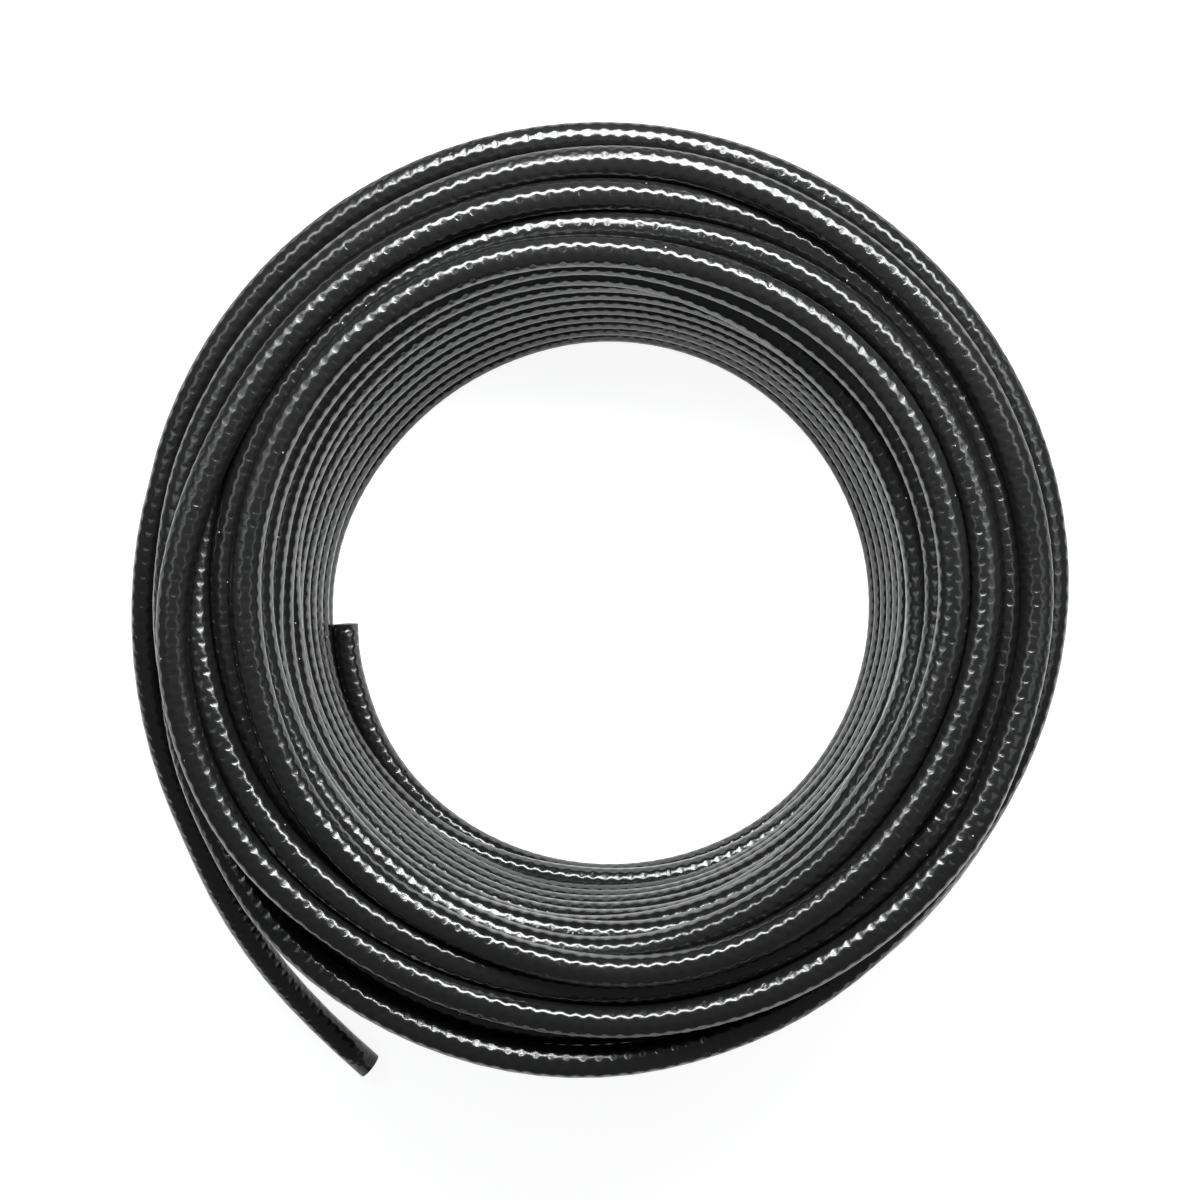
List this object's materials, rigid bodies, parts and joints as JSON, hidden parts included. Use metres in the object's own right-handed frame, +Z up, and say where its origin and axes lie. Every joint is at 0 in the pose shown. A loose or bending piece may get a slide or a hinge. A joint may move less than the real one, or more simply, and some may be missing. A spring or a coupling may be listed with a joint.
{
  "type": "coil of fuel hose",
  "caption": "Coil of black braid-reinforced flexible hose for fuel lines, lying flat, wound in nested layers, with a cut end inside its bore and the other trailing on the floor.",
  "frame": {"origin": "on the floor, under the middle of the box round the coil and its outer free end", "axes": "+Z up along the axis of the coil, +Y away from the outer free end, +X to the right seen from above"},
  "size_m": [0.3808, 0.4152, 0.132],
  "materials": {
    "hose_cover": "glossy soft black cover, the braid beneath it showing as small dimples and beads"
  },
  "bodies": {
    "root": {"hose_coil": "hose_cover", "hose_outer_end": "hose_cover", "hose_inner_end": "hose_cover"}
  },
  "joints": []
}
